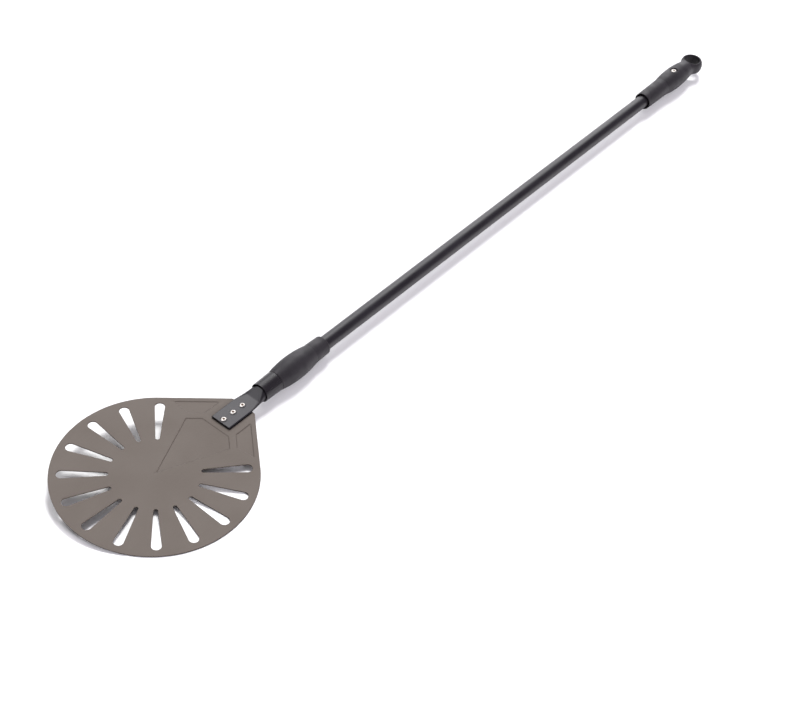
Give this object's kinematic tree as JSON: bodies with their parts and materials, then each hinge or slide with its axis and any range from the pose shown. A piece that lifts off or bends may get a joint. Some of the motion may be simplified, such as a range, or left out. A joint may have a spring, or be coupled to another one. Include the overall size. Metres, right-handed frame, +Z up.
{
  "type": "pizza peel",
  "caption": "Round slotted turning peel riveted to the flattened end of a long tubular handle, with a sliding, turning hand grip and a butt grip with a hanging eye.",
  "frame": {"origin": "centre of the blade's circle, on the blade's top face", "axes": "+X along the handle from the blade to the butt, +Z up out of the blade's top face"},
  "size_m": [1.2198, 0.23, 0.0313],
  "materials": {
    "anodised_sheet": "matte warm grey hard-anodised sheet",
    "powder_coat": "satin charcoal powder coat",
    "rivet_metal": "bright bare metal",
    "stem_steel": "dull brown snapped steel",
    "sleeve_plastic": "smooth satin charcoal plastic",
    "grip_plastic": "finely grained matte charcoal plastic"
  },
  "bodies": {
    "peel": {"blade": "anodised_sheet", "handle_tube": "powder_coat", "blade_rivets": "rivet_metal", "blade_rivet_stems": "stem_steel", "butt_grip": "grip_plastic", "butt_rivet": "rivet_metal", "butt_rivet_stem": "stem_steel"},
    "sliding_sleeve": {"grip_sleeve": "sleeve_plastic"},
    "turning_shell": {"grip_shell": "grip_plastic"}
  },
  "joints": [
    {"name": "grip_slide", "type": "slide", "parent": "peel", "child": "sliding_sleeve", "axis": [1, 0, 0], "range_m": [0, 0.682]},
    {"name": "grip_turn", "type": "hinge", "parent": "sliding_sleeve", "child": "turning_shell", "pos_m": [0.2355, 0, 0.0013], "axis": [1, 0, 0], "continuous": true}
  ]
}
